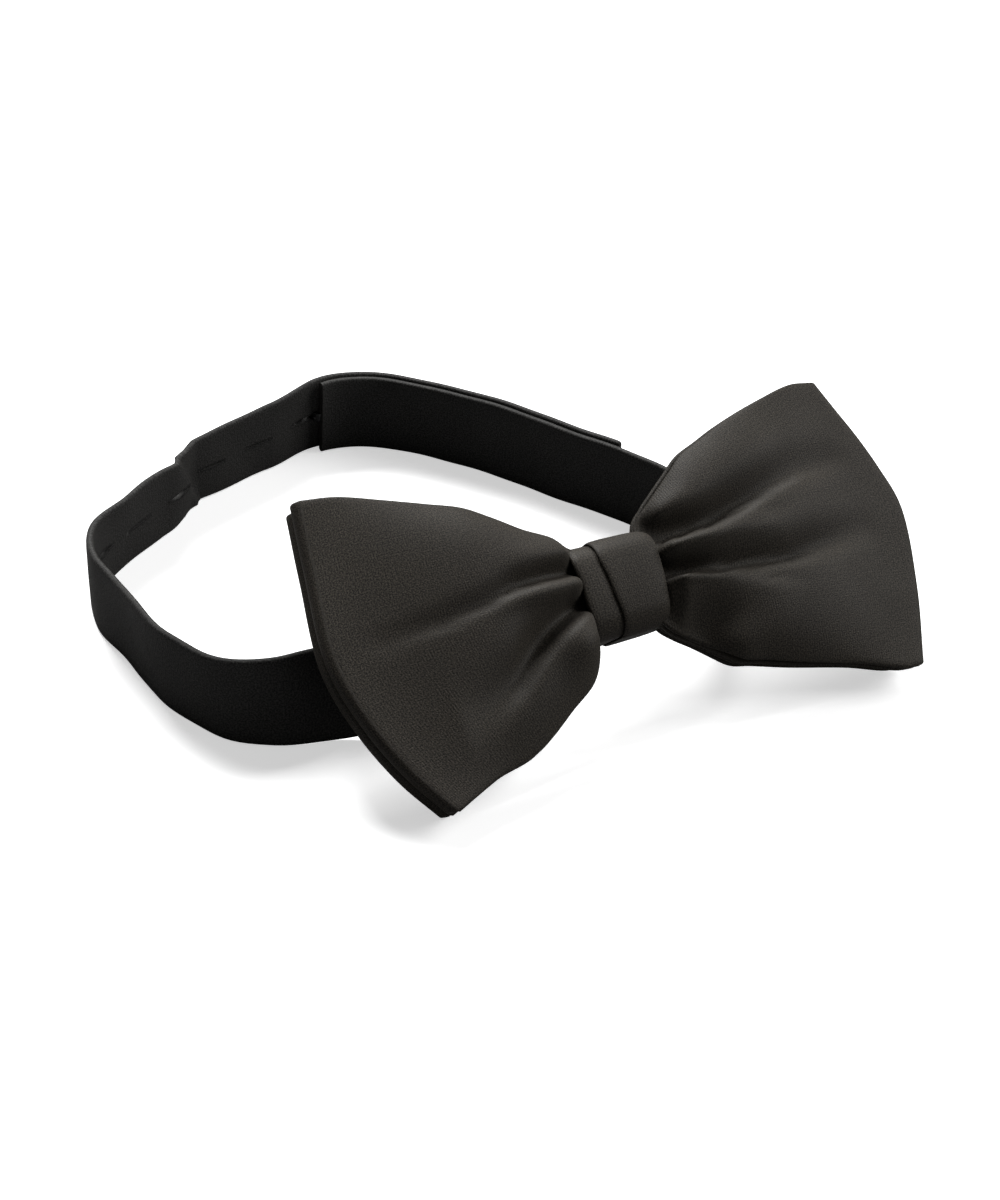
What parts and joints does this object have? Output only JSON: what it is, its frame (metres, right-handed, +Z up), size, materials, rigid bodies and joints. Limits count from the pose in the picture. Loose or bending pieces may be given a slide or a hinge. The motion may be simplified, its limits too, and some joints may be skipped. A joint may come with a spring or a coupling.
{
  "type": "bow tie",
  "caption": "Pre-tied satin bow tie: two stacked folded loops gathered by a tucked knot, on a neck band closed at the back by a T-hook in a row of buttonhole slits.",
  "frame": {"origin": "on the surface that the tie stands on, under the middle of its bounding box", "axes": "+X along the bow's length towards the wing at the right of its front view, +Y from the bow back into the neck loop, +Z up; the bow's face looks towards -Y and up"},
  "size_m": [0.1476, 0.127, 0.0425],
  "materials": {
    "bow_satin": "black satin with a soft warm sheen",
    "band_satin": "black satin, inner face duller",
    "interlining": "undyed woven canvas",
    "thread": "black sewing thread",
    "hook_metal": "black lacquered steel"
  },
  "bodies": {
    "neck_band": {"left_band": "band_satin", "left_band_interlining": "interlining"},
    "bow": {"front_bow_satin": "bow_satin", "front_bow_interlining": "interlining", "rear_bow_satin": "bow_satin", "rear_bow_interlining": "interlining", "gather_thread": "thread", "knot_wrap": "bow_satin", "knot_stitches": "thread", "knot_band": "band_satin", "knot_band_interlining": "interlining"},
    "right_band": {"right_band": "band_satin", "right_band_interlining": "interlining"},
    "slit_end": {"slit_strip": "band_satin", "slit_strip_interlining": "interlining", "buttonhole_stitching_01": "thread", "buttonhole_stitching_02": "thread", "buttonhole_stitching_03": "thread", "buttonhole_stitching_04": "thread", "buttonhole_stitching_05": "thread", "buttonhole_stitching_06": "thread", "buttonhole_stitching_07": "thread", "buttonhole_stitching_08": "thread", "buttonhole_stitching_09": "thread", "buttonhole_stitching_10": "thread", "buttonhole_stitching_11": "thread"},
    "hook_end": {"hook_strip": "band_satin", "hook_strip_interlining": "interlining", "t_hook": "hook_metal"}
  },
  "joints": [
    {"name": "bow_tilt", "type": "hinge", "parent": "neck_band", "child": "bow", "pos_m": [0.01197, -0.03212, 0.01768], "axis": [1, 0, 0], "range_deg": [0, 48.5], "deforming": ["left_band", "left_band_interlining"]},
    {"name": "right_band_level", "type": "hinge", "parent": "bow", "child": "right_band", "pos_m": [0.01197, -0.03212, 0.01768], "axis": [1, 0, 0], "range_deg": [-48.5, 0], "deforming": ["right_band", "right_band_interlining"]},
    {"name": "band_open", "type": "hinge", "parent": "neck_band", "child": "slit_end", "pos_m": [-0.07271, 0.02099, 0.009], "axis": [0, 0, 1], "range_deg": [0, 70], "deforming": ["slit_strip", "slit_strip_interlining", "buttonhole_stitching_06"]},
    {"name": "hook_end_swing", "type": "hinge", "parent": "right_band", "child": "hook_end", "pos_m": [0.04455, -0.00439, 0.009], "axis": [0, 0, 1], "range_deg": [-40, 0]}
  ],
  "couplings": [
    {"joint": "right_band_level", "follows": "bow_tilt", "ratio": -1},
    {"joint": "hook_end_swing", "follows": "band_open", "ratio": -0.5714}
  ]
}
